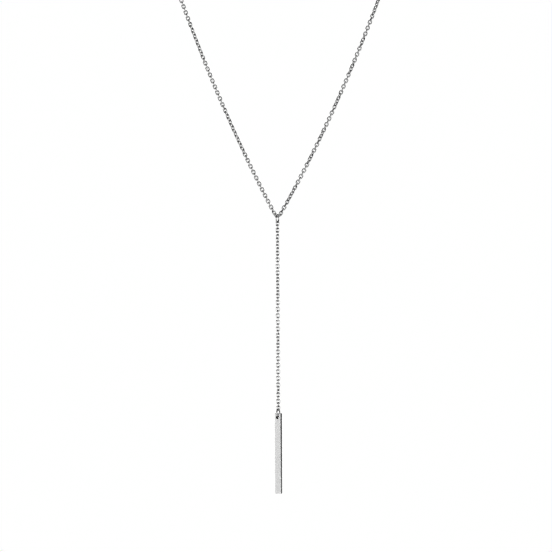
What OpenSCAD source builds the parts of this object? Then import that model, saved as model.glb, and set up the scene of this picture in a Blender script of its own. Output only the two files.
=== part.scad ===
// Bar necklace: a cable chain worn as a loop, whose two front strands meet in a ring.
// A straight drop of the same chain hangs from that ring and carries a plain upright bar.
// Millimetres. X to the wearer's left, Y from the front to the nape, Z up.
// The origin is at the nape, at the middle of the clasp, where the neck carries the loop.

/* [Cable chain] */
// Diameter of the wire that the links are bent from
wire_d = 0.45; // [0.35:0.01:0.5]
// Outer width of an oval link
link_w = 2; // [1.8:0.05:2.3]
// Outer length of an oval link
link_l = 2.68; // [2.66:0.01:2.7]
// Clearance between the wire of a ring and the wire of a link that it holds
ring_gap = 0.15; // [0.12:0.01:0.18]

/* [Strands] */
// Links in the front part of the left strand, as seen from the front
left_links = 76; // [20:1:80]
// Links in the front part of the right strand, as seen from the front
right_links = 77; // [20:1:80]
// Distance from the middle of one link to the middle of the next in the left strand
left_pitch = 1.668; // [1.6:0.001:1.67]
// The same distance in the right strand
right_pitch = 1.658; // [1.6:0.001:1.67]
// Angle between the left strand and the vertical near the ring
left_angle = 27.1; // [25:0.1:35]
// Angle between the right strand and the vertical near the ring
right_angle = 29.2; // [25:0.1:35]
// Sag constant of both strands: a larger value makes a straighter strand
sag = 134; // [90:1:150]
// Lean of the strands back towards the chest
lean = 12; // [8:0.5:16]

/* [Drop] */
// Links between the two rings
drop_links = 57; // [10:1:80]
// Distance from the middle of one link to the middle of the next in the drop
drop_pitch = 1.647; // [1.6:0.001:1.67]

/* [Rings] */
// Outer diameter of the round rings
ring_d = 4.5; // [4.2:0.1:5]
// Diameter of the wire that the rings are bent from
ring_wire_d = 0.55; // [0.45:0.01:0.6]
// Turn of the ring that joins the strands, away from edge-on
joint_ring_turn = 18; // [10:1:25]
// How far round that ring from its top the strands' end links sit, left in front and right behind
end_link_turn = 50; // [40:1:55]
// Sideways lean of the left strand's end link, away from the ring
left_splay = 28; // [20:1:50]
// Sideways lean of the right strand's end link, away from the ring
right_splay = 46; // [20:1:50]

/* [Bar] */
// Width of the bar's front face
bar_w = 3; // [2.6:0.1:4]
// Thickness of the bar from front to back
bar_t = 2; // [1.6:0.1:2.2]
// Height of the bar
bar_h = 40; // [20:1:60]
// Flat that breaks the bar's long edges
bar_edge = 0.12; // [0.05:0.01:0.3]
// Diameter of the hole near the top of the bar
hole_d = 1.5; // [1.3:0.1:1.6]
// Distance from the top of the bar down to the middle of the hole
hole_depth = 1.9; // [1.6:0.1:2.2]
// Turn of the bar, which shows its side face
bar_turn = 20.5; // [0:0.5:30]

/* [Neck] */
// Distance from the nape forward to the ring that joins the strands
front_y = 98; // [80:1:110]
// Drop from the nape down to the top of that ring
front_z = 163; // [150:1:170]
// How far that ring sits to one side of the middle of the neck
front_x = -1.8; // [-3:0.1:3]
// How far each strand keeps its direction before it bends back round the neck
shoulder_reach = 42; // [35:1:50]
// How far each strand runs straight across the nape before it bends forward
nape_reach = 36; // [25:1:45]

/* [Clasp] */
// Outer diameter of the clasp's ring
clasp_d = 6; // [5:0.1:8]
// Thickness of the clasp's ring
clasp_wire_d = 1.2; // [1:0.05:1.6]
// Outer diameter of the eye on the clasp
eye_d = 2.6; // [2.4:0.1:3]
// Thickness of the eye
eye_wire_d = 0.7; // [0.6:0.05:0.8]

/* [Hidden] */

// Distance from the middle of a link to the middle of the wire at its end
link_end = (link_l - wire_d) / 2;
// Mean radius of a ring and of a link's round end
ring_r = (ring_d - ring_wire_d) / 2;
link_r = (link_w - wire_d) / 2;
// Distance between the middle of a ring's wire and the middle of the wire that it holds
hook = (ring_wire_d + wire_d) / 2 + ring_gap;
// Distance from a ring's wire to the middle of the link that it holds
first_link = link_end - hook;
// Sides of a round wire, and of the circles that rings, links and holes follow
wire_sides = 16;
ring_sides = 48;
link_sides = 32;

// Directions that the two turned rings and the bar face
joint_front = [-sin(joint_ring_turn), -cos(joint_ring_turn), 0];
bar_front = [-sin(bar_turn), -cos(bar_turn), 0];
forward = [0, -1, 0];
down = [0, 0, -1];
joint_axis = cross(joint_front, down);
bar_axis = cross(bar_front, down);

// Middle of the joint ring, and the straight line of the drop below it
joint_top = [front_x, -front_y, -front_z];
joint_centre = joint_top + ring_r * down;
drop_top = joint_centre + ring_r * down;
drop_length = 2 * first_link + (drop_links - 1) * drop_pitch;
bar_ring_top = drop_top + drop_length * down;
bar_ring_centre = bar_ring_top + ring_r * down;
// The ring's wire curves up inside the hole, so its middle sits lower than its sides
wire_rise = ring_r - sqrt(pow(ring_r, 2) - pow(bar_t / 2, 2));
hole_clearance = 0.06;
hole_centre = bar_ring_centre
    + (ring_r - wire_rise + hole_d / 2 - ring_wire_d / 2 - hole_clearance) * down;

// How far each link's flat face has turned from facing forward, by link number
// columns: link number, turn in degrees
left_twist = [[0, -8], [1, -56], [2, -75], [3, -90], [19, -90], [23, -50], [34, -40], [38, 0],
    [52, 0], [55, 40], [63, 50], [67, 90], [80, 90]];
right_twist = [[0, -5], [1, 120], [2, 103], [3, 90], [6, 130], [9, 140], [12, 180], [17, 180],
    [20, 215], [23, 262], [25, 272], [28, 315], [32, 360], [36, 360], [39, 400], [41, 410],
    [44, 450], [48, 450], [51, 490], [54, 535], [58, 540], [63, 628], [67, 632], [71, 670], [80, 680]];
drop_twist = [[0, 0], [2, 10], [5, 65], [8, 110], [17, 110], [20, 155], [24, 200], [32, 200],
    [35, 245], [39, 255], [42, 290], [44, 290], [46, 325], [53, 345], [55, 360], [80, 360]];

// How far a strand's end link follows its strand, and how much closer to it its neighbour lies,
// since the corner between the two takes up clearance
end_follow = 0.55;
end_slack = 0.1;

// Hidden tubes: where they stop short of their neighbours, their sides and rings
tube_gap = 0.15;
tube_sides = 8;
tube_rings = 26;
tube_r = link_w / 2;

// Mean radii of the clasp and its eye, how far the eye sinks into the clasp, and the eye's middle
clasp_r = (clasp_d - clasp_wire_d) / 2;
eye_r = (eye_d - eye_wire_d) / 2;
eye_sink = 0.15;
eye_x = -(clasp_d / 2 + eye_d / 2 - eye_wire_d / 2 - eye_sink);
// Clearance of the end rings, where they hang on the clasp, and where the loop's last links hang
clasp_slack = 0.1;
left_hook_x = eye_x - eye_r + eye_wire_d / 2 + ring_wire_d / 2 + clasp_slack;
left_end_x = left_hook_x - 2 * ring_r;
right_hook_x = clasp_r - clasp_wire_d / 2 - ring_wire_d / 2 - clasp_slack;
right_end_x = right_hook_x + 2 * ring_r;

function unit(v) = v / norm(v);
function asinh(x) = ln(x + sqrt(x * x + 1));

// Each function of a strand takes its side: -1 on the left, 1 on the right
function strand_links(side) = side < 0 ? left_links : right_links;
function strand_pitch(side) = side < 0 ? left_pitch : right_pitch;
function strand_angle(side) = side < 0 ? left_angle : right_angle;
function strand_splay(side) = side < 0 ? left_splay : right_splay;
function leaning(side, run, rise) = [side * run, rise * sin(lean), rise * cos(lean)];

// Slope of a hanging strand after a length s, as rise over run, and how far it has come by then
function slope_at(side, s) = 1 / tan(strand_angle(side)) + s / sag;
function strand_run(side, s) = sag * (asinh(slope_at(side, s)) - asinh(slope_at(side, 0)));
function strand_rise(side, s) =
    sag * (sqrt(1 + pow(slope_at(side, s), 2)) - sqrt(1 + pow(slope_at(side, 0), 2)));
function strand_way(side, s) = unit(leaning(side, 1, slope_at(side, s)));

// Directions at the point of the joint ring's wire that a strand's end link hangs on
function wire_turn(side) = -side * end_link_turn;
function out_of_ring(side) = sin(wire_turn(side)) * joint_front - cos(wire_turn(side)) * down;
function along_wire(side) = cos(wire_turn(side)) * joint_front + sin(wire_turn(side)) * down;
function end_way(side) = unit(cos(strand_splay(side)) * out_of_ring(side)
    + sin(strand_splay(side)) * side * joint_axis + end_follow * strand_way(side, 0));
function end_centre(side) =
    joint_centre + ring_r * out_of_ring(side) + first_link * end_way(side);

// Where a strand is after a length s that starts at the middle of its second link
function strand_point(side, s) = end_centre(side)
    + (strand_pitch(side) - end_slack) / 2 * (end_way(side) + strand_way(side, 0))
    + leaning(side, strand_run(side, s), strand_rise(side, s));

// Round wire ring whose axis is given
module wire_ring(centre, axis, mean_r, wire) {
    placed(centre, across(axis), axis)
        rotate_extrude($fn = ring_sides)
            translate([mean_r, 0])
                circle(d = wire, $fn = wire_sides);
}

// A direction square to a ring's axis, worked out from the upright or, for an upright axis, from X
function across(axis) = unit(cross(abs(axis.z) < 1 ? [0, 0, 1] : [1, 0, 0], axis));

// Puts children so that their Y runs along way and their Z along face
module placed(centre, way, face) {
    y = unit(way);
    z = unit(face - (face * y) * y);
    x = cross(y, z);
    multmatrix([
        [x.x, y.x, z.x, centre.x],
        [x.y, y.y, z.y, centre.y],
        [x.z, y.z, z.z, centre.z],
        [0, 0, 0, 1]
    ]) children();
}

// One oval link lying in XY, its long side along Y
module link() {
    straight = 2 * (link_end - link_r);
    for (turn = [0, 180])
        rotate([0, 0, turn])
            translate([0, straight / 2, 0])
                rotate_extrude(angle = 180, $fn = link_sides)
                    translate([link_r, 0])
                        circle(d = wire_d, $fn = wire_sides);
    for (side = [-1, 1])
        translate([side * link_r, straight / 2, 0])
            rotate([90, 0, 0])
                cylinder(d = wire_d, h = straight, $fn = wire_sides);
}

// Link number i of a chain: every other link is a quarter turn on, plus the chain's own twist
module placed_link(i, centre, way, face, twist) {
    placed(centre, way, face)
        rotate([0, 90 * (i % 2) + lookup(i, twist), 0])
            link();
}

// Front part of a strand: its end link on the joint ring, then the rest along the strand
module strand(side, twist) {
    color("silver") {
        placed_link(0, end_centre(side), end_way(side), along_wire(side), twist);
        for (i = [1:strand_links(side) - 1]) {
            s = (i - 1) * strand_pitch(side);
            placed_link(i, strand_point(side, s), strand_way(side, s), forward, twist);
        }
    }
}

module chain_left() {
    strand(-1, left_twist);
}

module chain_right() {
    strand(1, right_twist);
}

// Links number from the bar's ring up, so the first one hangs square to that ring
module drop_chain() {
    color("silver")
        for (i = [0:drop_links - 1])
            placed_link(i, bar_ring_top - (first_link + i * drop_pitch) * down, [0, 0, 1],
                bar_front, drop_twist);
}

module joint_ring() {
    color("silver")
        wire_ring(joint_centre, joint_axis, ring_r, ring_wire_d);
}

module bar_ring() {
    color("silver")
        wire_ring(bar_ring_centre, bar_axis, ring_r, ring_wire_d);
}

// Upright bar with broken long edges and a drilled hole near its top
module bar() {
    color("gainsboro")
        translate(hole_centre)
            rotate([0, 0, -bar_turn])
                difference() {
                    translate([0, 0, hole_depth - bar_h])
                        linear_extrude(bar_h)
                            bar_section();
                    rotate([90, 0, 0])
                        cylinder(d = hole_d, h = 2 * bar_t, center = true, $fn = ring_sides);
                }
}

module bar_section() {
    x = bar_w / 2;
    y = bar_t / 2;
    e = bar_edge;
    polygon([[x - e, -y], [x, -y + e], [x, y - e], [x - e, y],
        [-x + e, y], [-x, y - e], [-x, -y + e], [-x + e, -y]]);
}

// The loop's hidden back: a curve from the end of each front strand to its end ring
function last_link_at(side) = (strand_links(side) - 2) * strand_pitch(side);
function back_start(side) =
    strand_point(side, last_link_at(side) + link_end + wire_d / 2 + tube_gap);
function back_way(side) = strand_way(side, last_link_at(side) + strand_pitch(side));
function bend(t, a, b, c, d) =
    pow(1 - t, 3) * a + 3 * pow(1 - t, 2) * t * b + 3 * (1 - t) * t * t * c + pow(t, 3) * d;
function bend_way(t, a, b, c, d) =
    unit(pow(1 - t, 2) * (b - a) + 2 * (1 - t) * t * (c - b) + t * t * (d - c));

// Tube along that curve, one closed surface
module back_tube(side, end_x) {
    a = back_start(side);
    d = [end_x + side * (ring_wire_d / 2 + tube_gap), 0, 0];
    b = a + shoulder_reach * back_way(side);
    c = d + [side * nape_reach, 0, 0];
    points = [for (k = [0:tube_rings - 1])
        let (t = k / (tube_rings - 1), p = bend(t, a, b, c, d), w = bend_way(t, a, b, c, d),
            u = unit(cross(w, [0, 0, 1])), v = cross(w, u))
        for (n = [0:tube_sides - 1])
            p + tube_r * (cos(n * 360 / tube_sides) * u + sin(n * 360 / tube_sides) * v)];
    sides = [for (k = [0:tube_rings - 2]) for (n = [0:tube_sides - 1])
        let (m = (n + 1) % tube_sides, low = k * tube_sides, high = low + tube_sides)
        each [[low + n, low + m, high + m], [low + n, high + m, high + n]]];
    first_cap = [for (n = [tube_sides - 1:-1:0]) n];
    last_cap = [for (n = [0:tube_sides - 1]) (tube_rings - 1) * tube_sides + n];
    color("silver")
        polyhedron(points, concat([first_cap], sides, [last_cap]));
}

module chain_left_back() {
    back_tube(-1, left_end_x);
}

module chain_right_back() {
    back_tube(1, right_end_x);
}

// The clasp lies across the nape: its ring, and the eye fused to the ring's left side
module clasp() {
    color("silver")
        union() {
            wire_ring([0, 0, 0], [0, 1, 0], clasp_r, clasp_wire_d);
            wire_ring([eye_x, 0, 0], [0, 1, 0], eye_r, eye_wire_d);
        }
}

module end_ring_left() {
    color("silver")
        wire_ring([left_hook_x - ring_r, 0, 0], [0, 0, 1], ring_r, ring_wire_d);
}

module end_ring_right() {
    color("silver")
        wire_ring([right_hook_x + ring_r, 0, 0], [0, 0, 1], ring_r, ring_wire_d);
}

bar();
bar_ring();
drop_chain();
joint_ring();
chain_left();
chain_right();
chain_left_back();
chain_right_back();
end_ring_left();
end_ring_right();
clasp();
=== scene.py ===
"""Looks of the bar necklace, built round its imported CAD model, in metres."""
import math

import bpy
from mathutils import Matrix, Vector


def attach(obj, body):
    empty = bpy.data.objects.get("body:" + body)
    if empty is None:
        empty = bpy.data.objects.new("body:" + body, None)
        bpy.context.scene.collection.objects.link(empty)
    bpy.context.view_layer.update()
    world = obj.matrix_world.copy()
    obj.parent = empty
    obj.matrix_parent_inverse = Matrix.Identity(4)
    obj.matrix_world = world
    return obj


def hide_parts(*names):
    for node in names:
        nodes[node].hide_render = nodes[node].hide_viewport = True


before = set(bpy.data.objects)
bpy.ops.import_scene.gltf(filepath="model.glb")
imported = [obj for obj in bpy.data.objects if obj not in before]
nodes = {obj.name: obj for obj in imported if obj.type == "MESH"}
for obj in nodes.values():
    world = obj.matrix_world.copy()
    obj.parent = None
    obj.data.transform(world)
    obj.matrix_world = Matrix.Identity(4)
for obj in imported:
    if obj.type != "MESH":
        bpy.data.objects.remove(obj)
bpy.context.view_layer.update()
scene = bpy.context.scene
MM = 0.001
QUARTER = math.pi / 2

# Camera: level, looking along +Y, turned a little about its own axis as the photographer's was
CAMERA_PLACE = Vector((-2.62, -1631, -193.6)) * MM
CAMERA_ROLL = math.radians(0.26)
CAMERA_LENS = 200
CAMERA_NEAR = 0.1
CAMERA_FAR = 20

# Pixels over which one sample counts: a little sharper than Blender's own 1.5
PIXEL_FILTER = 1.4

# Studio as the metal sees it: azimuth from the camera's side to the right, elevation, half width,
# half height, soft edge across, soft edge upward, all in degrees, then brightness. The boxes stand
# to the left, to the right and overhead, and the walls round them are dim.
SOFT_BOXES = [
    (-80, -10, 110, 20, 10, 20, 1.2),
    (50, 0, 65, 40, 10, 20, 1.1),
    (0, 90, 200, 35, 10, 30, 0.45),
]
STUDIO_WALLS = 0.04

# Steels: shade, roughness, size of the finest marks, and how many times longer they run upright
CHAIN_STEEL = (0.71, 0.2, 0.15 * MM, 1)
RING_STEEL = (0.68, 0.2, 0.15 * MM, 1)
BAR_STEEL = (0.85, 0.3, 0.1 * MM, 40)

# Marks on every steel: how strongly they show in the bump, how deep they are beside their size, the
# middle range of their noise, and what its two ends make of the steel's roughness
MARK_STRENGTH = 0.05
MARK_DEPTH = 0.05
MARK_RANGE = (0.3, 0.7)
MARK_ROUGHNESS = (0.8, 1.2)

# Faint patches on every steel: how fine they are beside the marks, and their darkest and lightest
# shade beside the steel's own
PATCH_FINENESS = 0.08
PATCH_SHADES = (0.94, 1.05)

# Cable chain: wire, outer width and length of a link, and the distance from middle to middle
WIRE = 0.45 * MM
LINK_WIDTH = 2 * MM
LINK_LENGTH = 2.68 * MM
LINK_PITCH = 1.66 * MM
LINK_ROUND = (LINK_WIDTH - WIRE) / 2
LINK_END = (LINK_LENGTH - WIRE) / 2
WIRE_SIDES = 12
ROUND_STEPS = 10

# End rings: wire, the clearance that a link keeps on it, and from wire middle to wire middle
RING_WIRE = 0.55 * MM
RING_GAP = 0.15 * MM
HOOK = (RING_WIRE + WIRE) / 2 + RING_GAP

# Hidden back of the loop: how far each side keeps its first and its last direction, how far the CAD
# tubes stop short of what they meet, and how finely their curve is followed
SHOULDER_REACH = 42 * MM
NAPE_REACH = 36 * MM
TUBE_GAP = 0.15 * MM
CURVE_STEPS = 400

# Flat end of a CAD tube: how far from its plane a corner may lie, and the decimals of a metre to
# which two corners at one place agree
RIM_DEPTH = WIRE / 10
RIM_DECIMALS = 7

# Turn of each front strand's last CAD link from facing forward
LEFT_LAST_TURN = math.radians(180)
RIGHT_LAST_TURN = math.radians(135.6)

# Bar: rounding of its edges and the steps in it, the least angle that makes an edge, and the
# distance within which corners become one
BAR_ROUND = 0.05 * MM
BAR_ROUND_STEPS = 3
BAR_EDGE_ANGLE = math.radians(20)
BAR_WELD = BAR_ROUND / 100

# Drilled hole in the bar: middle, turn of its axis from straight ahead, and radius; the painted shade
# that darkens its wall, as shade falls inside the hole, and the wall's roughness; and where beside the
# radius the wall's look begins and stops fading out
BORE_CENTRE = Vector((-1.8, -98, -264.205)) * MM
BORE_TURN = math.radians(20.5)
BORE_RADIUS = 0.75 * MM
BORE_PAINTED_SHADE = 0.25
BORE_ROUGHNESS = 0.5
BORE_FADE = (1.02, 1.07)

# Floor, well below the pendant and ending before it would come into the photograph's frame: height,
# half width, then the fineness and the two shades of its patches, and its roughness
FLOOR_HEIGHT = -620 * MM
FLOOR_HALF = 3
FLOOR_FINENESS = 6
FLOOR_SHADES = (0.88, 0.92)
FLOOR_ROUGHNESS = 0.8


def grey(shade):
    return shade, shade, shade, 1


class Graph:
    """A node tree under construction."""

    def __init__(self, tree):
        self.tree = tree
        tree.nodes.clear()

    def add(self, kind, values=None, **settings):
        """A new node with its settings made and its input sockets filled from values or links."""
        node = self.tree.nodes.new(kind)
        for name, value in settings.items():
            setattr(node, name, value)
        for name, value in (values or {}).items():
            if isinstance(value, bpy.types.NodeSocket):
                self.tree.links.new(value, node.inputs[name])
            else:
                node.inputs[name].default_value = value
        return node

    def maths(self, operation, *values):
        return self.add("ShaderNodeMath", dict(enumerate(values)), operation=operation).outputs["Value"]

    def vectors(self, operation, *values):
        """Result of a vector operation that gives a vector."""
        node = self.add("ShaderNodeVectorMath", dict(enumerate(values)), operation=operation)
        return node.outputs["Vector"]

    def length(self, vector):
        node = self.add("ShaderNodeVectorMath", {0: vector}, operation="LENGTH")
        return node.outputs["Value"]

    def noise(self, place, scale, detail=2):
        node = self.add("ShaderNodeTexNoise", {"Vector": place, "Scale": scale, "Detail": detail})
        return node.outputs["Fac"]

    def mix(self, factor, first, second):
        """Colour on the way from first to second."""
        node = self.add("ShaderNodeMix", {"Factor": factor, "A": first, "B": second}, data_type="RGBA")
        return node.outputs["Result"]

    def spread(self, value, low, high, to_low, to_high, smooth=False):
        """value carried from the range low to high over to the range to_low to to_high."""
        node = self.add("ShaderNodeMapRange", {"Value": value, "From Min": low, "From Max": high,
                                               "To Min": to_low, "To Max": to_high})
        node.interpolation_type = "SMOOTHSTEP" if smooth else "LINEAR"
        return node.outputs["Result"]


def make_camera():
    data = bpy.data.cameras.new("camera")
    data.lens = CAMERA_LENS
    data.clip_start = CAMERA_NEAR
    data.clip_end = CAMERA_FAR
    camera = bpy.data.objects.new("camera", data)
    scene.collection.objects.link(camera)
    across = Vector((math.cos(CAMERA_ROLL), 0, -math.sin(CAMERA_ROLL)))
    up = Vector((math.sin(CAMERA_ROLL), 0, math.cos(CAMERA_ROLL)))
    turn = Matrix((across, up, across.cross(up))).transposed()
    camera.matrix_world = Matrix.Translation(CAMERA_PLACE) @ turn.to_4x4()
    scene.camera = camera


def box_light(graph, azimuth, elevation, box):
    """Light that comes from one soft box, fading out across its soft edges."""
    across, up, half_width, half_height, soft_across, soft_up, light = box
    turned = graph.maths("WRAP", azimuth, math.radians(across + 180), math.radians(across - 180))
    for angle, middle, half, soft in ((turned, across, half_width, soft_across),
                                      (elevation, up, half_height, soft_up)):
        off = graph.maths("ABSOLUTE", graph.maths("SUBTRACT", angle, math.radians(middle)))
        outer = math.radians(half + soft / 2)
        inner = math.radians(half - soft / 2)
        light = graph.maths("MULTIPLY", graph.spread(off, outer, inner, 0, 1, smooth=True), light)
    return light


def make_world():
    """Plain white, except that gloss reflects the studio's soft boxes and walls."""
    world = bpy.data.worlds.new("studio")
    scene.world = world
    world.use_nodes = True
    world.cycles.sampling_method = "NONE"
    graph = Graph(world.node_tree)
    direction = graph.add("ShaderNodeTexCoord").outputs["Generated"]
    parts = graph.add("ShaderNodeSeparateXYZ", {"Vector": direction}).outputs
    azimuth = graph.maths("ARCTAN2", parts["X"], graph.maths("MULTIPLY", parts["Y"], -1.0))
    elevation = graph.maths("ARCSINE", parts["Z"])
    studio = STUDIO_WALLS
    for box in SOFT_BOXES:
        studio = graph.maths("ADD", box_light(graph, azimuth, elevation, box), studio)
    glossy = graph.add("ShaderNodeLightPath").outputs["Is Glossy Ray"]
    shown = graph.add("ShaderNodeMix", {"Factor": glossy, "A": 1.0, "B": studio}, data_type="FLOAT")
    background = graph.add("ShaderNodeBackground", {"Color": grey(1), "Strength": shown.outputs[0]})
    graph.add("ShaderNodeOutputWorld", {"Surface": background.outputs[0]})


def new_material(name):
    """A material and its empty node tree."""
    material = bpy.data.materials.new(name)
    material.use_nodes = True
    return material, Graph(material.node_tree)


def in_bore(graph, place, middle, axis, radius):
    """1 on the wall of a drilled hole, which gets a rougher look and painted shade, and 0 outside it.
    """
    off = graph.vectors("SUBTRACT", place, middle)
    out = graph.vectors("SUBTRACT", off, graph.vectors("PROJECT", off, axis))
    inner, outer = (share * radius for share in BORE_FADE)
    return graph.spread(graph.length(out), outer, inner, 0, 1)


def steel(name, look, bore=None):
    """Steel of one of the looks named above.

    bore is the middle, axis and radius of a drilled hole, whose wall is made rougher and darkened with
    painted shade, for the shade that falls inside the hole.
    """
    shade, roughness, grain, stretch = look
    material, graph = new_material(name)
    place = graph.add("ShaderNodeTexCoord").outputs["Object"]
    drawn = graph.add("ShaderNodeMapping", {"Vector": place, "Scale": (1, 1, 1 / stretch)}).outputs[0]
    marks = graph.noise(drawn, 1 / grain, detail=3)
    patches = graph.noise(place, PATCH_FINENESS / grain)
    tone = graph.mix(patches, *(grey(share * shade) for share in PATCH_SHADES))
    bump = graph.add("ShaderNodeBump", {"Height": marks, "Strength": MARK_STRENGTH,
                                        "Distance": MARK_DEPTH * grain})
    shine = graph.spread(marks, *MARK_RANGE, *(share * roughness for share in MARK_ROUGHNESS))
    if bore:
        shaded_wall = in_bore(graph, place, *bore)
        shine = graph.maths("MAXIMUM", shine, graph.maths("MULTIPLY", shaded_wall, BORE_ROUGHNESS))
        # Painted shade: the hole's wall is darkened for the shade that falls inside it
        tone = graph.mix(shaded_wall, tone, grey(BORE_PAINTED_SHADE))
    surface = graph.add("ShaderNodeBsdfPrincipled", {
        "Base Color": tone, "Metallic": 1.0, "Roughness": shine, "Normal": bump.outputs[0]})
    graph.add("ShaderNodeOutputMaterial", {"Surface": surface.outputs[0]})
    return material


def floor_paint():
    """Matt pale paint with faint patches."""
    material, graph = new_material("floor_paint")
    place = graph.add("ShaderNodeTexCoord").outputs["Object"]
    tone = graph.mix(graph.noise(place, FLOOR_FINENESS), *map(grey, FLOOR_SHADES))
    surface = graph.add("ShaderNodeBsdfPrincipled", {
        "Base Color": tone, "Roughness": FLOOR_ROUGHNESS, "Specular IOR Level": 0.0})
    graph.add("ShaderNodeOutputMaterial", {"Surface": surface.outputs[0]})
    return material


def make_floor(material):
    mesh = bpy.data.meshes.new("floor")
    corners = [(x * FLOOR_HALF, y * FLOOR_HALF, FLOOR_HEIGHT)
               for x, y in ((-1, -1), (1, -1), (1, 1), (-1, 1))]
    mesh.from_pydata(corners, [], [(0, 1, 2, 3)])
    floor = bpy.data.objects.new("floor", mesh)
    scene.collection.objects.link(floor)
    mesh.materials.append(material)


def link_points():
    """Rings of points round the wire of one oval link about the origin.

    The link's long side runs along Y, and its face looks along Z.
    """
    straight = LINK_END - LINK_ROUND
    angles = [math.tau * side / WIRE_SIDES for side in range(WIRE_SIDES)]
    rings = []
    for end in (1, -1):
        for step in range(ROUND_STEPS + 1):
            turn = math.pi * step / ROUND_STEPS
            outward = Vector((math.cos(turn), math.sin(turn), 0)) * end
            middle = Vector((0, straight * end, 0)) + outward * LINK_ROUND
            rings.append([
                middle + WIRE / 2 * (outward * math.cos(angle) + Vector((0, 0, math.sin(angle))))
                for angle in angles])
    return rings


def link_faces(first, rings):
    """Faces between the rings of one link, whose points are numbered on from first."""
    faces = []
    for ring in range(rings):
        here = first + ring * WIRE_SIDES
        there = first + (ring + 1) % rings * WIRE_SIDES
        for side in range(WIRE_SIDES):
            after = (side + 1) % WIRE_SIDES
            faces.append((here + side, there + side, there + after, here + after))
    return faces


def chain_piece(name, places):
    """One piece of chain from the place, way and face of each link."""
    rings = link_points()
    points = []
    faces = []
    for centre, way, face in places:
        across = way.cross(face)
        faces += link_faces(len(points), len(rings))
        points += [centre + across * point.x + way * point.y + face * point.z
                   for ring in rings for point in ring]
    mesh = bpy.data.meshes.new(name)
    mesh.from_pydata(points, [], faces)
    mesh.shade_smooth()
    piece = bpy.data.objects.new(name, mesh)
    scene.collection.objects.link(piece)
    return piece


def tube_end(tube, distance):
    """Middle and outward direction of the flat end of a CAD tube where the distance is least."""
    cap = min(tube.data.polygons, key=lambda face: distance(face.center))
    rim = {tuple(round(value, RIM_DECIMALS) for value in vertex.co) for vertex in tube.data.vertices
           if abs((vertex.co - cap.center).dot(cap.normal)) < RIM_DEPTH}
    return sum((Vector(corner) for corner in rim), Vector()) / len(rim), cap.normal.copy()


def back_curve(tube):
    """Points along the middle of a hidden tube, from its low end at the shoulder to the nape."""
    start, start_out = tube_end(tube, lambda place: place.z)
    end, end_out = tube_end(tube, lambda place: abs(place.x))
    corners = (start, start - start_out * SHOULDER_REACH, end - end_out * NAPE_REACH, end)
    points = []
    for step in range(CURVE_STEPS + 1):
        t = step / CURVE_STEPS
        shares = ((1 - t) ** 3, 3 * (1 - t) ** 2 * t, 3 * (1 - t) * t * t, t ** 3)
        points.append(sum((share * corner for share, corner in zip(shares, corners)), Vector()))
    return points


def follow(points):
    """Length up to each point of a curve, then the way and the face of each stretch between two.

    The face starts straight ahead and leans with the curve, but never turns about it.
    """
    lengths = [0.0]
    ways = []
    faces = []
    face = Vector((0, -1, 0))
    for before, after in zip(points, points[1:]):
        way = (after - before).normalized()
        face = (face - face.dot(way) * way).normalized()
        ways.append(way)
        faces.append(face)
        lengths.append(lengths[-1] + (after - before).length)
    return lengths, ways, faces


def back_places(points, last_turn):
    """Place, way and face of each link along the hidden back, after a front link at last_turn.

    Every link is a quarter turn on from the one before, and a little more, so that the last one
    hangs square on its end ring. The first one's middle lies a pitch on from the front link's.
    """
    lengths, ways, faces = follow(points)
    start = LINK_PITCH - (LINK_END + WIRE / 2 + TUBE_GAP)
    end = lengths[-1] + RING_WIRE / 2 + TUBE_GAP - (LINK_END - HOOK)
    count = round((end - start) / LINK_PITCH)
    backward = Vector((0, 1, 0))
    square = math.atan2(backward.dot(ways[-1].cross(faces[-1])), backward.dot(faces[-1]))
    missing = square - last_turn - (count + 1) * QUARTER
    extra = (missing + QUARTER) % math.pi - QUARTER
    places = []
    step = 0
    for number in range(count + 1):
        along = start + (end - start) * number / count
        while step < len(ways) - 1 and lengths[step + 1] < along:
            step += 1
        way, face = ways[step], faces[step]
        centre = points[step] + way * (along - lengths[step])
        turn = last_turn + (number + 1) * QUARTER + extra * number / count
        places.append((centre, way, math.cos(turn) * face + math.sin(turn) * way.cross(face)))
    return places


def back_chain(name, last_turn):
    """Links in place of the CAD tube of that name."""
    places = back_places(back_curve(nodes[name]), last_turn)
    piece = chain_piece(name + "_links", places)
    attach(piece, "necklace")
    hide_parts(name)
    return piece


def soften(bar):
    """Rounds the corners of the bar's bevelled edges a little."""
    weld = bar.modifiers.new("weld", "WELD")
    weld.merge_threshold = BAR_WELD
    bevel = bar.modifiers.new("soft_edges", "BEVEL")
    bevel.width = BAR_ROUND
    bevel.segments = BAR_ROUND_STEPS
    bevel.limit_method = "ANGLE"
    bevel.angle_limit = BAR_EDGE_ANGLE
    bevel.harden_normals = True


def dress(piece, material):
    piece.data.materials.clear()
    piece.data.materials.append(material)


make_camera()
make_world()
scene.cycles.filter_width = PIXEL_FILTER
scene.view_settings.view_transform = "Raw"
make_floor(floor_paint())

chain_steel = steel("chain_polish", CHAIN_STEEL)
ring_steel = steel("ring_polish", RING_STEEL)
clasp_steel = steel("clasp_polish", CHAIN_STEEL)
bore_axis = Vector((-math.sin(BORE_TURN), -math.cos(BORE_TURN), 0))
bar_steel = steel("bar_satin", BAR_STEEL, (BORE_CENTRE, bore_axis, BORE_RADIUS))

chains = [nodes[name] for name in ("chain_left", "chain_right", "drop_chain")]
chains.append(back_chain("chain_left_back", LEFT_LAST_TURN))
chains.append(back_chain("chain_right_back", RIGHT_LAST_TURN))
for chain in chains:
    dress(chain, chain_steel)
for name in ("joint_ring", "bar_ring", "end_ring_left", "end_ring_right"):
    dress(nodes[name], ring_steel)
dress(nodes["clasp"], clasp_steel)
dress(nodes["bar"], bar_steel)
soften(nodes["bar"])
